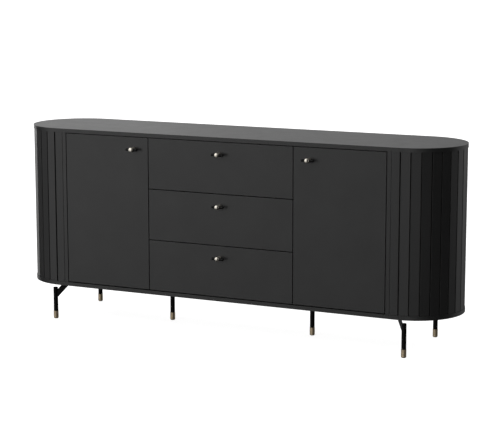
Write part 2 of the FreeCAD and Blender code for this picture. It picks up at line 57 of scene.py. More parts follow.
# ------------------------------------------------------------------ shader helpers
class Finish:
    """One procedural material, built up node by node on its Principled shader."""

    SPAN = ("From Min", "From Max", "To Min", "To Max")

    def __init__(self, name, **sockets):
        self.material = bpy.data.materials.new(name)
        self.material.use_nodes = True
        self.tree = self.material.node_tree
        self.shader = self.tree.nodes["Principled BSDF"]
        self.place = self.add("ShaderNodeTexCoord").outputs["Object"]
        for socket, value in sockets.items():
            self.set(socket.replace("_", " "), value)

    def add(self, kind, **settings):
        node = self.tree.nodes.new(kind)
        for key, value in settings.items():
            setattr(node, key, value)
        return node

    def feed(self, socket, source):
        """Link an output to a socket, or set the socket to a plain value."""
        if isinstance(source, bpy.types.NodeSocket):
            self.tree.links.new(source, socket)
        else:
            socket.default_value = source

    def set(self, name, source):
        self.feed(self.shader.inputs[name], source)

    def stretched(self, scale):
        """Object coordinates in metres, scaled along each axis."""
        node = self.add("ShaderNodeMapping")
        self.feed(node.inputs["Vector"], self.place)
        self.feed(node.inputs["Scale"], scale)
        return node.outputs["Vector"]

    def noise(self, scale, detail=2.0, rough=0.5, stretch=(1, 1, 1)):
        node = self.add("ShaderNodeTexNoise")
        self.feed(node.inputs["Vector"], self.stretched(tuple(scale * s for s in stretch)))
        self.feed(node.inputs["Scale"], 1.0)
        self.feed(node.inputs["Detail"], detail)
        self.feed(node.inputs["Roughness"], rough)
        return node.outputs["Fac"]

    def cells(self, scale, feature="F1", stretch=(1, 1, 1)):
        node = self.add("ShaderNodeTexVoronoi", feature=feature)
        self.feed(node.inputs["Vector"], self.stretched(tuple(scale * s for s in stretch)))
        self.feed(node.inputs["Scale"], 1.0)
        return node

    def waves(self, scale, axis, distortion=0.0):
        """Sine bands across one axis, so many to the metre."""
        node = self.add("ShaderNodeTexWave", bands_direction=axis)
        self.feed(node.inputs["Vector"], self.place)
        self.feed(node.inputs["Scale"], scale / WAVE_BANDS)
        self.feed(node.inputs["Distortion"], distortion)
        return node.outputs["Fac"]

    def remap(self, source, low, high, out_low, out_high):
        node = self.add("ShaderNodeMapRange")
        self.feed(node.inputs["Value"], source)
        for socket, value in zip(self.SPAN, (low, high, out_low, out_high)):
            self.feed(node.inputs[socket], value)
        return node.outputs["Result"]

    def maths(self, operation, a, b):
        node = self.add("ShaderNodeMath", operation=operation)
        self.feed(node.inputs[0], a)
        self.feed(node.inputs[1], b)
        return node.outputs["Value"]

    def blend(self, amount, one, two):
        """Mix two colours by an amount."""
        node = self.add("ShaderNodeMix", data_type="RGBA")
        self.feed(node.inputs["Factor"], amount)
        for socket, colour in ((node.inputs[6], one), (node.inputs[7], two)):
            self.feed(socket, (*colour, 1.0) if isinstance(colour, tuple) else colour)
        return node.outputs[2]

    def relief(self, height, depth, strength=1.0, under=None):
        """A bump of a given depth in metres, laid over another one."""
        node = self.add("ShaderNodeBump")
        self.feed(node.inputs["Height"], height)
        self.feed(node.inputs["Distance"], depth)
        self.feed(node.inputs["Strength"], strength)
        if under:
            self.feed(node.inputs["Normal"], under)
        return node.outputs["Normal"]

    def wear(self):
        """How worn an edge is: the meshes mark their bevelled faces, and noise breaks the mark up."""
        mark = self.add("ShaderNodeAttribute", attribute_name="worn").outputs["Fac"]
        patchy = self.remap(self.noise(60, 4, 0.6), 0.42, 0.66, 0.15, 1.0)
        return self.maths("MULTIPLY", mark, patchy)


def grey(value, warmth=0.0):
    return (value * (1 + warmth), value, value * (1 - warmth))


# ------------------------------------------------------------------ materials
def lacquer(name, dark, light, roughness, streaks=False):
    """Matte charcoal lacquer on fibreboard: a faint cloudiness, fine spray texture and rubbed edges.

    Faces in the gaps between slats are painted much darker, as shade there, and are all but dull.
    """
    f = Finish(name)
    cloud = f.noise(7, 3, 0.55, stretch=(1, 1, 0.35) if streaks else (1, 1, 1))
    speck = f.noise(2600, 2, 0.6)
    tone = f.add("ShaderNodeAttribute", attribute_name="tone").outputs["Fac"]
    shade = f.maths("ADD", f.remap(cloud, 0.3, 0.7, 0, 1), f.maths("MULTIPLY", tone, 0.3))
    colour = f.blend(shade, grey(dark), grey(light))
    colour = f.blend(f.remap(speck, 0.62, 0.8, 0, 0.5), colour, grey(light * 1.7))
    colour = f.blend(f.maths("MULTIPLY", f.wear(), 0.5), colour, grey(light * 3.2))
    # painted shade: faces marked in the gaps between slats are blended to a far darker colour and made all
    # but dull
    gap_shade = f.add("ShaderNodeAttribute", attribute_name="gap_shade").outputs["Fac"]
    f.set("Base Color", f.blend(gap_shade, colour, grey(dark * 0.3)))
    smudge = f.remap(f.noise(16, 5, 0.62), 0.3, 0.75, roughness - 0.015, roughness + 0.025)
    f.set("Roughness", f.remap(gap_shade, 0, 1, smudge, 0.95))
    waviness = f.relief(f.noise(24, 1, 0.4), 0.00004)
    f.set("Normal", f.relief(f.noise(1300, 3, 0.6), 0.000022, under=waviness))
    f.set("IOR", 1.5)
    return f.material


def foil(name, dark, light, roughness):
    """Printed decor foil with a short embossed grain along the board."""
    f = Finish(name)
    grain = f.noise(9, 4, 0.6, stretch=(1.0, 14, 14))
    colour = f.blend(f.remap(grain, 0.35, 0.65, 0, 1), grey(dark), grey(light, 0.02))
    pores = f.noise(260, 3, 0.65, stretch=(0.12, 1, 1))
    colour = f.blend(f.remap(pores, 0.6, 0.75, 0, 0.6), colour, grey(dark * 0.6))
    f.set("Base Color", colour)
    f.set("Roughness", f.remap(pores, 0.3, 0.7, roughness - 0.06, roughness + 0.08))
    f.set("Normal", f.relief(pores, 0.00008))
    return f.material


def linen_foil(name, dark, light):
    """The woven-look foil that drawer boxes are wrapped in."""
    f = Finish(name)
    warp = f.maths("ADD", f.waves(620, "Y", 1.2), f.waves(620, "Z", 1.2))
    weft = f.maths("ADD", warp, f.waves(540, "X", 1.6))
    mottled = f.maths("ADD", weft, f.noise(900, 3, 0.6))
    colour = f.blend(f.remap(mottled, 1.0, 3.0, 0, 1), grey(dark), grey(light))
    f.set("Base Color", f.blend(f.remap(f.noise(5, 3), 0.35, 0.65, 0, 0.35), colour, grey(light)))
    f.set("Roughness", f.remap(mottled, 1.0, 3.0, 0.5, 0.66))
    f.set("Normal", f.relief(weft, 0.00005))
    return f.material


def hardboard(name, dark, light):
    """Thin pressed board: matted fibres under a painted face."""
    f = Finish(name)
    fibres = f.noise(420, 5, 0.7, stretch=(1, 1, 0.35))
    flecks = f.cells(240).outputs["Distance"]
    colour = f.blend(f.remap(fibres, 0.35, 0.65, 0, 1), grey(dark, 0.03), grey(light, 0.05))
    f.set("Base Color", f.blend(f.remap(flecks, 0.0, 0.18, 0.5, 0), colour, grey(light * 1.5, 0.08)))
    f.set("Roughness", f.remap(fibres, 0.3, 0.7, 0.62, 0.82))
    f.set("Normal", f.relief(fibres, 0.00015))
    return f.material


def powder_coat(name, dark, roughness, shine):
    """Baked powder paint on steel: orange peel, and bare spots along worn edges."""
    f = Finish(name, Specular_IOR_Level=shine)
    drift = f.noise(22, 3, 0.55)
    colour = f.blend(f.remap(drift, 0.3, 0.7, 0, 1), grey(dark * 0.8), grey(dark * 1.3))
    f.set("Base Color", f.blend(f.maths("MULTIPLY", f.wear(), 0.4), colour, grey(dark * 5)))
    f.set("Roughness", f.remap(f.noise(60, 4, 0.6), 0.3, 0.7, roughness * 0.8, roughness * 1.25))
    f.set("Normal", f.relief(f.noise(700, 2, 0.5), 0.00003))
    return f.material


def turned_metal(name, colour, tarnish, roughness, rings, axis, depth, side=None):
    """Lathe-turned plated metal: fine tool rings across its axis and a breath of tarnish.

    Where side is given, it is the roughness of the barrel, and only faces that look along Y keep the other.
    """
    f = Finish(name)
    fine = f.waves(rings, axis, 2.0)
    patina = f.noise(70, 4, 0.6)
    tone = f.blend(f.remap(patina, 0.35, 0.7, 0, 0.55), colour, tarnish)
    bright = tuple(min(1.0, c * 1.12) for c in colour)
    f.set("Base Color", f.blend(f.maths("MULTIPLY", f.wear(), 0.6), tone, bright))
    f.set("Metallic", 1.0)
    blotch = f.remap(patina, 0.3, 0.75, 0.8, 1.35)
    worked = f.maths("ADD", blotch, f.remap(fine, 0, 1, 0, 0.25))
    if side:
        facing = f.add("ShaderNodeSeparateXYZ")
        f.feed(facing.inputs[0], f.add("ShaderNodeTexCoord").outputs["Normal"])
        roughness = f.remap(f.maths("ABSOLUTE", facing.outputs["Y"], 0.0), 0.75, 0.95, side, roughness)
    f.set("Roughness", f.maths("MULTIPLY", worked, roughness))
    f.set("Normal", f.relief(fine, depth, under=f.relief(f.noise(900, 2), depth)))
    return f.material


def plated_steel(name, value, roughness, spangle):
    """Zinc or nickel plate: crystal spangle, drawing marks and a few smears."""
    f = Finish(name)
    crystals = f.cells(spangle)
    tint = f.add("ShaderNodeRGBToBW")
    f.feed(tint.inputs["Color"], crystals.outputs["Color"])
    marks = f.noise(900, 3, 0.6, stretch=(1, 0.03, 1))
    grain = f.remap(tint.outputs["Val"], 0.2, 0.8, 0, 1)
    colour = f.blend(grain, grey(value * 0.82, -0.01), grey(value, -0.015))
    f.set("Base Color", f.blend(f.remap(marks, 0.55, 0.75, 0, 0.5), colour, grey(value * 0.6)))
    f.set("Metallic", 1.0)
    spread = f.remap(tint.outputs["Val"], 0.2, 0.8, roughness * 0.8, roughness * 1.3)
    f.set("Roughness", f.maths("ADD", spread, f.remap(marks, 0.4, 0.7, 0, 0.08)))
    f.set("Normal", f.relief(marks, 0.00002))
    return f.material


def moulded_plastic(name, dark):
    """Black plastic with a spark-eroded texture."""
    f = Finish(name)
    eroded = f.cells(900).outputs["Distance"]
    f.set("Base Color", f.blend(f.noise(90, 3), grey(dark * 0.8), grey(dark * 1.3)))
    f.set("Roughness", f.remap(eroded, 0, 0.8, 0.45, 0.62))
    f.set("Normal", f.relief(eroded, 0.00006))
    return f.material


MATERIALS = {
    "cabinet_black": lacquer("matte_lacquer", 0.0165, 0.0215, 0.38),
    "slat_black": lacquer("slat_lacquer", 0.0155, 0.0205, 0.38, streaks=True),
    "inner_board": foil("charcoal_foil", 0.022, 0.034, 0.5),
    "drawer_board": linen_foil("linen_foil", 0.17, 0.27),
    "hardboard": hardboard("painted_hardboard", 0.028, 0.042),
    "leg_black": powder_coat("fine_powder_coat", 0.0015, 0.4, 0.12),
    "bracket_black": powder_coat("satin_powder_coat", 0.015, 0.45, 0.4),
    "tip_gold": turned_metal(
        "satin_champagne", (0.56, 0.46, 0.32), (0.46, 0.36, 0.24), 0.42, 2400, "Z", 0.00002
    ),
    "knob_brass": turned_metal(
        "polished_champagne", (0.56, 0.53, 0.48), (0.5, 0.46, 0.38), 0.12, 1800, "Y", 0.000004, side=0.55
    ),
    "knob_black": powder_coat("satin_black", 0.002, 0.35, 0.2),
    "hinge_steel": plated_steel("nickel_plate", 0.66, 0.24, 300),
    "rail_steel": plated_steel("zinc_plate", 0.6, 0.3, 110),
    "screw_steel": plated_steel("zinc_screws", 0.55, 0.34, 500),
    "glide_plastic": moulded_plastic("glide_plastic", 0.03),
}
SLOTS = {entry["node"]: entry["material_slot"] for entry in frame["record"]["subparts"]}
BODIES = {node: body for body, members in frame["record"]["behaviour"]["bodies"].items() for node in members}


# ------------------------------------------------------------------ mesh helpers
def new_bmesh():
    """An empty mesh whose faces can be marked as worn or for painted shade in gaps, and be given a tone of
    their own.
    """
    bm = bmesh.new()
    for mark in ("worn", "gap_shade", "tone"):
        bm.faces.layers.float.new(mark)
    return bm


def finish_mesh(name, bm, *nodes, material=None, body=None, cut=None, angle=35):
    """Make a piece that stands for some CAD nodes, with the finish and the body of the first."""
    bmesh.ops.recalc_face_normals(bm, faces=bm.faces)
    mesh = bpy.data.meshes.new(name)
    bm.to_mesh(mesh)
    bm.free()
    piece = bpy.data.objects.new(name, mesh)
    bpy.context.scene.collection.objects.link(piece)
    slot = material or SLOTS[nodes[0]]
    mesh.materials.append(MATERIALS[slot])
    if cut:
        carve(piece, cut)
    piece.data.shade_smooth()
    piece.data.set_sharp_from_angle(angle=math.radians(angle))
    weighted = piece.modifiers.new("even_normals", "WEIGHTED_NORMAL")
    weighted.keep_sharp = True
    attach(piece, body or BODIES[nodes[0]])
    if nodes:
        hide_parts(*nodes)
    return piece


def carve(piece, cutter_bm):
    """Cut one mesh out of a piece for good."""
    bmesh.ops.recalc_face_normals(cutter_bm, faces=cutter_bm.faces)
    mesh = bpy.data.meshes.new("cutter")
    cutter_bm.to_mesh(mesh)
    cutter_bm.free()
    cutter = bpy.data.objects.new("cutter", mesh)
    bpy.context.scene.collection.objects.link(cutter)
    cutting = piece.modifiers.new("cut", "BOOLEAN")
    cutting.operation = "DIFFERENCE"
    cutting.solver = "EXACT"
    cutting.object = cutter
    done = piece.evaluated_get(bpy.context.evaluated_depsgraph_get())
    carved = bpy.data.meshes.new_from_object(done)
    piece.modifiers.remove(cutting)
    plain, piece.data = piece.data, carved
    bpy.data.objects.remove(cutter)
    for spent in (mesh, plain):
        bpy.data.meshes.remove(spent)


def settle(bm, verts, placing, tone=0.0):
    """Move new points to their place, and give their faces a tone."""
    if placing:
        bmesh.ops.transform(bm, matrix=placing, verts=verts)
    layer = bm.faces.layers.float["tone"]
    for face in {face for vert in verts for face in vert.link_faces}:
        face[layer] = tone


def round_edges(bm, edges, radius, segments=3):
    """Round some edges, and mark the new faces as worn."""
    rounding = bmesh.ops.bevel(
        bm, geom=list(edges), offset=radius, offset_type="OFFSET",
        segments=segments, profile=0.5, affect="EDGES",
    )
    layer = bm.faces.layers.float["worn"]
    for face in rounding["faces"]:
        face[layer] = 1.0
    return rounding["verts"]


def add_box(bm, low, high, radius=0.8 * MM, segments=3, placing=None, tone=0.0, gap_shade=False):
    """A block between two corners with rounded edges; its ends along X can be marked for painted shade where
    they face into gaps.
    """
    low, high = Vector(low), Vector(high)
    made = bmesh.ops.create_cube(bm, size=1.0)["verts"]
    sizing = Matrix.Translation((low + high) / 2) @ Matrix.Diagonal((*(high - low), 1.0))
    bmesh.ops.transform(bm, matrix=sizing, verts=made)
    edges = {edge for vert in made for edge in vert.link_edges}
    made = round_edges(bm, edges, radius, segments)
    # painted shade: the ends along X face into the gaps between slats and are marked to be painted much
    # darker
    if gap_shade:
        layer = bm.faces.layers.float["gap_shade"]
        for face in {face for vert in made for face in vert.link_faces}:
            face.normal_update()
            face[layer] = 1.0 if abs(face.normal.x) > 0.9 else 0.0
    settle(bm, made, placing, tone)


def add_prism(bm, outline, low, high, radius=0.0, segments=3, placing=None, tone=0.0):
    """A closed outline in XY raised from low to high, with both rims rounded."""
    floor = [bm.verts.new((x, y, low)) for x, y in outline]
    roof = [bm.verts.new((x, y, high)) for x, y in outline]
    caps = [bm.faces.new(floor[::-1]), bm.faces.new(roof)]
    for i, j in zip(range(len(outline)), [*range(1, len(outline)), 0]):
        bm.faces.new((floor[i], floor[j], roof[j], roof[i]))
    made = set(floor + roof)
    if radius:
        rims = {edge for cap in caps for edge in cap.edges}
        made = made | set(round_edges(bm, rims, radius, segments))
        made = {vert for vert in made if vert.is_valid}
    settle(bm, list(made), placing, tone)


def add_lathe(bm, profile, turns=64, placing=None, worn=()):
    """Revolve (radius, height) points about Z; a radius of nought closes an end."""
    wear = bm.faces.layers.float["worn"]
    rings = []
    for radius, height in profile:
        angles = [2 * math.pi * k / turns for k in range(turns if radius else 1)]
        rings.append([bm.verts.new((radius * math.cos(a), radius * math.sin(a), height)) for a in angles])
    for rank, (one, two) in enumerate(zip(rings, rings[1:])):
        for k in range(turns):
            j = (k + 1) % turns
            corners = [one[k % len(one)], one[j % len(one)], two[j % len(two)], two[k % len(two)]]
            face = bm.faces.new(list(dict.fromkeys(corners)))
            face[wear] = 1.0 if rank in worn else 0.0
    settle(bm, [vert for ring in rings for vert in ring], placing)


def arc(centre, radius, start, sweep, steps=5):
    """Points along an arc, with its angles in degrees."""
    angles = (math.radians(start + sweep * i / steps) for i in range(steps + 1))
    return [(centre[0] + radius * math.cos(a), centre[1] + radius * math.sin(a)) for a in angles]


def rounded_rectangle(wide, tall, radius, steps=5):
    """The outline of a rectangle about the origin, with round corners."""
    points = []
    for quarter, (i, j) in enumerate(((1, 1), (-1, 1), (-1, -1), (1, -1))):
        corner = (i * (wide / 2 - radius), j * (tall / 2 - radius))
        points += arc(corner, radius, 90 * quarter, 90, steps)
    return points


def at(x, y, z, turn=0.0, tip=None):
    """Place a piece at a point: tipped so that its Z runs along an axis, and turned about it in degrees."""
    matrix = Matrix.Translation((x, y, z))
    if tip:
        matrix = matrix @ Vector(tip).to_track_quat("Z", "Y").to_matrix().to_4x4()
    return matrix @ Matrix.Rotation(math.radians(turn), 4, "Z")


def solids(node):
    """The lowest and highest corners of each separate solid of a CAD node."""
    bm = bmesh.new()
    bm.from_mesh(frame["nodes"][node].data)
    bmesh.ops.remove_doubles(bm, verts=bm.verts, dist=0.001 * MM)
    bm.verts.index_update()
    seen = set()
    boxes = []
    for start in bm.verts:
        if start.index in seen:
            continue
        seen.add(start.index)
        group, corners = [start], []
        while group:
            vert = group.pop()
            corners.append(vert.co.copy())
            for edge in vert.link_edges:
                other = edge.other_vert(vert)
                if other.index not in seen:
                    seen.add(other.index)
                    group.append(other)
        low = Vector([min(c[i] for c in corners) for i in range(3)])
        high = Vector([max(c[i] for c in corners) for i in range(3)])
        boxes.append((low, high))
    bm.free()
    return boxes


def middle(box):
    return (box[0] + box[1]) / 2


def eased_boards(*nodes, radius=0.6 * MM):
    """Every solid of each node as a board with softly rounded edges."""
    for node in nodes:
        bm = new_bmesh()
        for low, high in solids(node):
            add_box(bm, low, high, radius)
        finish_mesh(f"{node}_mesh", bm, node)


# ------------------------------------------------------------------ carcass
END_SEGMENTS = 96
BOARD_EASE = 0.8 * MM


def stadium(low, high):
    """The outline of a board with half-round ends."""
    radius = (high.y - low.y) / 2
    centre_y = (high.y + low.y) / 2
    right = arc((high.x - radius, centre_y), radius, -90, 180, END_SEGMENTS)
    left = arc((low.x + radius, centre_y), radius, 90, 180, END_SEGMENTS)
    return right + left


def make_carcass():
    for node in ("top_panel", "bottom_panel"):
        low, high = (Vector(corner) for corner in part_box(node))
        bm = new_bmesh()
        add_prism(bm, stadium(low, high), low.z, high.z, BOARD_EASE, segments=4)
        finish_mesh(f"{node}_mesh", bm, node)
    for side in SIDES:
        eased_boards(f"side_panel_{side}", f"shelf_{side}", f"partition_{side}")
    eased_boards("back_panel", radius=0.4 * MM)
    back_nails()
    shelf_pins()


def back_nails():
    """Nails that hold the back panel to the two partitions."""
    per_partition = 6
    sunk = -1 * MM
    head = 2.2 * MM
    back = Vector(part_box("back_panel")[1]).y
    bm = new_bmesh()
    for side in SIDES:
        low, high = solids(f"partition_{side}")[0]
        x = (low.x + high.x) / 2
        for k in range(per_partition):
            z = low.z + (high.z - low.z) * (k + 0.5) / per_partition
            profile = [(0, sunk), (head, sunk), (head, 0.2 * MM), (head * 0.7, 0.5 * MM), (0, 0.6 * MM)]
            add_lathe(bm, profile, 16, at(x, back, z, tip=(0, 1, 0)))
    finish_mesh("back_nails", bm, material="screw_steel", body="cabinet")


def shelf_pins():
    """Plain round pins with rounded ends, lying along X."""
    bm = new_bmesh()
    nose = 0.5 * MM
    for low, high in solids("shelf_pins"):
        radius, half = (high.z - low.z) / 2, (high.x - low.x) / 2
        shank = [(0, -half), *arc((radius - nose, -half + nose), nose, -90, 90),
                 *arc((radius - nose, half - nose), nose, 0, 90), (0, half)]
        add_lathe(bm, shank, 24, at(*middle((low, high)), tip=(1, 0, 0)))
    finish_mesh("shelf_pins_mesh", bm, "shelf_pins")


# ------------------------------------------------------------------ slatted ends
SLATS = 15
SLAT_WIDE = 36.1 * MM
SLAT_THICK = 10 * MM
# In degrees round the half circle: from slat to slat, and from the straight part to the first one.
SLAT_PITCH = 11.6
FIRST_SLAT = 3
# The two edges of a flat strip, by their distance from the middle of the cabinet.
STRIP = (722.5 * MM, 755.5 * MM)
SLAT_EASE = 0.7 * MM


def make_slats(side, sign):
    """Flat strips beside the side panel, front and back, and slats round the half circle."""
    node = f"end_slats_{side}"
    low, high = (Vector(corner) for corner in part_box(node))
    top_low, top_high = (Vector(corner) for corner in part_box("top_panel"))
    centre = Vector((sign * (top_high.x - (top_high.y - top_low.y) / 2), (top_high.y + top_low.y) / 2, 0))
    dice = random.Random(11 + sign)
    bm = new_bmesh()
    xs = sorted((sign * STRIP[0], sign * STRIP[1]))
    # Every strip and slat has its ends along X marked for painted shade in the gaps between them.
    for y in (low.y, high.y - SLAT_THICK):
        tone = dice.uniform(-1, 1)
        add_box(bm, (xs[0], y, low.z), (xs[1], y + SLAT_THICK, high.z), SLAT_EASE, tone=tone, gap_shade=True)
    reach = centre.y - low.y
    for k in range(SLATS):
        turn = sign * (FIRST_SLAT + (k + 0.5) * SLAT_PITCH)
        placing = at(*centre, turn)
        corners = (-SLAT_WIDE / 2, -reach, low.z), (SLAT_WIDE / 2, SLAT_THICK - reach, high.z)
        add_box(bm, *corners, SLAT_EASE, placing=placing, tone=dice.uniform(-1, 1), gap_shade=True)
    finish_mesh(f"{node}_mesh", bm, node)


# ------------------------------------------------------------------ legs
# The arm rises at 45 degrees, so its depth square to its length spans this much of a plumb line.
ARM_REACH = 23.8 * MM * math.sqrt(2)
ARM_WIDE = 4 * MM
ARM_DROP = 9 * MM
ARM_ROUNDING = 0.6 * MM
PLATE = 50 * MM
SCREW_INSET = 9 * MM
ENDS = {"front": -1, "back": 1}
CORNERS = {f"{end}_{side}": (sx, sy) for end, sy in ENDS.items() for side, sx in SIDES.items()}


def leg_axis(node):
    """The middle of a round upright solid, its radius, and the heights of its two ends."""
    low, high = (Vector(corner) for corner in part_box(node))
    return middle((low, high)), (high.x - low.x) / 2, low.z, high.z


def make_leg(name, rounding):
    """A steel tube, closed at the top; a middle leg has a weld bead under its plate."""
    node = f"leg_{name}"
    spot, radius, low, high = leg_axis(node)
    bm = new_bmesh()
    crown = arc((radius - rounding, high - rounding), rounding, 0, 90)
    profile = [(0, low), (radius, low), *crown, (0, high)]
    add_lathe(bm, profile, 64, at(spot.x, spot.y, 0), worn=range(2, 7))
    if name.startswith("middle"):
        weld = 3 * MM
        bead = [(radius - 0.2 * MM, high - weld), *arc((radius + weld, high - weld), weld, 180, -90)]
        add_lathe(bm, [*bead, (radius - 0.2 * MM, high), bead[0]], 64, at(spot.x, spot.y, 0))
    finish_mesh(f"{node}_mesh", bm, node)


def make_arm(corner, sx, sy):
    """A flat steel arm on edge, rising at 45 degrees from the leg to the plate above."""
    spot, radius, _, top = leg_axis(f"leg_{corner}")
    plate_under = Vector(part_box("leg_plates")[0]).z
    start = top - ARM_DROP - radius
    end = plate_under - start
    node = f"leg_arm_{corner}"
    outline = [(0, start - ARM_REACH), (end + ARM_REACH, plate_under), (end, plate_under), (0, start)]
    bm = new_bmesh()
    near = [bm.verts.new((u, -ARM_WIDE / 2, z)) for u, z in outline]
    far = [bm.verts.new((u, ARM_WIDE / 2, z)) for u, z in outline]
    bm.faces.new(near)
    bm.faces.new(far[::-1])
    for i, j in ((0, 1), (1, 2), (2, 3), (3, 0)):
        bm.faces.new((near[i], far[i], far[j], near[j]))
    spans = [(edge, edge.verts[1].co - edge.verts[0].co) for edge in bm.edges]
    shortest_slope = 20 * MM
    slopes = [edge for edge, span in spans if min(abs(span.x), abs(span.z)) > shortest_slope]
    round_edges(bm, slopes, ARM_ROUNDING, 4)
    settle(bm, bm.verts, at(spot.x, spot.y, 0, heading(sx, sy)))
    finish_mesh(f"{node}_mesh", bm, node)
    return end + ARM_REACH / 2


def heading(sx, sy):
    """The turn from +X towards the middle of the cabinet along a corner's diagonal."""
    return math.degrees(math.atan2(-sy, -sx))


def make_feet():
    """Turned tips, open at the top round the tube, and the glides that they stand on."""
    tips, glides = new_bmesh(), new_bmesh()
    tube = leg_axis("leg_front_left")[1]
    tip_floor = 4 * MM
    for low, high in solids("leg_tips"):
        spot, radius = middle((low, high)), (high.x - low.x) / 2
        wall, turn_in = tube + 0.15 * MM, 0.5 * MM
        profile = [(0, low.z), *arc((radius - turn_in, low.z + turn_in), turn_in, -90, 90),
                   *arc((radius - turn_in, high.z - turn_in), turn_in, 0, 60), (wall, high.z),
                   (wall, low.z + tip_floor), (0, low.z + tip_floor)]
        add_lathe(tips, profile, 72, at(spot.x, spot.y, 0), worn=(*range(1, 6), *range(7, 12)))
    for low, high in solids("leg_glides"):
        spot, radius = middle((low, high)), (high.x - low.x) / 2
        turn_in = 0.8 * MM
        profile = [(0, low.z), *arc((radius - turn_in, low.z + turn_in), turn_in, -90, 90),
                   (radius, high.z), (0, high.z)]
        add_lathe(glides, profile, 48, at(spot.x, spot.y, 0), worn=range(1, 6))
    finish_mesh("leg_tips_mesh", tips, "leg_tips")
    finish_mesh("leg_glides_mesh", glides, "leg_glides")


def make_plates(offset):
    """Plates under the cabinet, each with four screws, at an offset along each corner's diagonal."""
    low, high = (Vector(corner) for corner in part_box("leg_plates"))
    plates, screws, slots = new_bmesh(), new_bmesh(), new_bmesh()
    places = [at(*leg_axis(f"leg_{c}")[0].xy, 0, heading(*signs)) @ Matrix.Translation((offset, 0, 0))
              for c, signs in CORNERS.items()]
    places += [at(*leg_axis(f"leg_middle_{side}")[0].xy, 0) for side in SIDES]
    reach = PLATE / 2 - SCREW_INSET
    for place in places:
        add_prism(plates, rounded_rectangle(PLATE, PLATE, 5 * MM), low.z, high.z, 0.5 * MM, placing=place)
        for i in (-1, 1):
            for j in (-1, 1):
                spot = place @ Vector((i * reach, j * reach, low.z))
                screw_head(screws, slots, spot, (0, 0, -1), 4 * MM, 2 * MM, 20 * (i + 2 * j))
    finish_mesh("leg_plates_mesh", plates, "leg_plates")
    finish_mesh("leg_screws_mesh", screws, "leg_screws", cut=slots)


def screw_head(heads, slots, spot, way, radius, height, turn):
    """A domed head that looks one way, and the cross that is cut out of it."""
    sunk = -1 * MM
    dome = [(radius, 0.3 * height), (radius * 0.92, 0.65 * height), (radius * 0.7, 0.88 * height)]
    add_lathe(heads, [(0, sunk), (radius, sunk), *dome, (0, height)], 28, at(*spot, tip=way), worn=(2, 3))
    half, thin = 0.55 * radius, 0.13 * radius
    cross = [(half, thin), (thin, thin), (thin, half), (-thin, half), (-thin, thin), (-half, thin),
             (-half, -thin), (-thin, -thin), (-thin, -half), (thin, -half), (thin, -thin), (half, -thin)]
    add_prism(slots, cross, 0.3 * height, 2 * height, placing=at(*spot, turn, tip=way))


# ------------------------------------------------------------------ knobs
KNOB_ROUNDING = 1.2 * MM
KNOB_DOME = 0.55 * MM


def make_knob(owner):
    """A turned post with a shallow dome, and the dark bar that runs through its bore."""
    low, high = (Vector(corner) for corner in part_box(f"{owner}_knob_post"))
    bar_low, bar_high = (Vector(corner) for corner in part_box(f"{owner}_knob_bar"))
    spot, radius, reach = middle((low, high)), (high.x - low.x) / 2, high.y - low.y
    r = KNOB_ROUNDING
    foot = 0.3 * MM
    sagitta = KNOB_DOME
    rim = radius - r
    ball = (rim**2 + sagitta**2) / (2 * sagitta)
    spread = math.degrees(math.asin(rim / ball))
    dome = arc((0, reach - ball), ball, 90 - spread, spread, 12)[1:-1]
    shoulder = arc((rim, reach - sagitta - r), r, 0, 90 - spread, 8)
    profile = [(0, 0), (radius - foot, 0), (radius, foot), *shoulder, *dome, (0, reach)]
    post, bore, bar = new_bmesh(), new_bmesh(), new_bmesh()
    add_lathe(post, profile, 96, at(spot.x, high.y, spot.z, tip=(0, -1, 0)), worn=range(3, 11))
    centre = middle((bar_low, bar_high))
    bar_radius, half = (bar_high.z - bar_low.z) / 2, (bar_high.x - bar_low.x) / 2
    hole = bar_radius + 0.05 * MM
    add_lathe(bore, [(0, -half), (hole, -half), (hole, half), (0, half)], 64, at(*centre, tip=(1, 0, 0)))
    ends = [(0, -half), *arc((bar_radius - r, r - half), r, -90, 90, 6),
            *arc((bar_radius - r, half - r), r, 0, 90, 6), (0, half)]
    add_lathe(bar, ends, 64, at(*centre, tip=(1, 0, 0)), worn=(*range(1, 7), *range(8, 14)))
    finish_mesh(f"{owner}_knob_post_mesh", post, f"{owner}_knob_post", cut=bore)
    finish_mesh(f"{owner}_knob_bar_mesh", bar, f"{owner}_knob_bar")


# ------------------------------------------------------------------ doors and hinges
FRONT_EASE = 0.8 * MM
# The hinge cup's flange: wide, tall and thick.
FLANGE = (24 * MM, 52 * MM, 1.2 * MM)
CUP_RADIUS = 17.5 * MM
CUP_WALL = 0.9 * MM


def make_door(side):
    """A door slab bored for its hinge cups, with the cups and its knob."""
    node = f"door_{side}_panel"
    low, high = (Vector(corner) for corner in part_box(node))
    slab, bores = new_bmesh(), new_bmesh()
    add_box(slab, low, high, FRONT_EASE, 4)
    cups = solids(f"hinge_cups_{side}")
    play = 0.1 * MM
    for cup in cups:
        spot = middle(cup)
        bottom, mouth = cup[0].y - 0.2 * MM, high.y + 1 * MM
        bore = [(0, bottom), (CUP_RADIUS + play, bottom), (CUP_RADIUS + play, mouth), (0, mouth)]
        add_lathe(bores, bore, 64, at(spot.x, 0, spot.z, tip=(0, 1, 0)))
    finish_mesh(f"{node}_mesh", slab, node, cut=bores)
    hinge_cups(side, cups, high.y)
    make_knob(f"door_{side}")


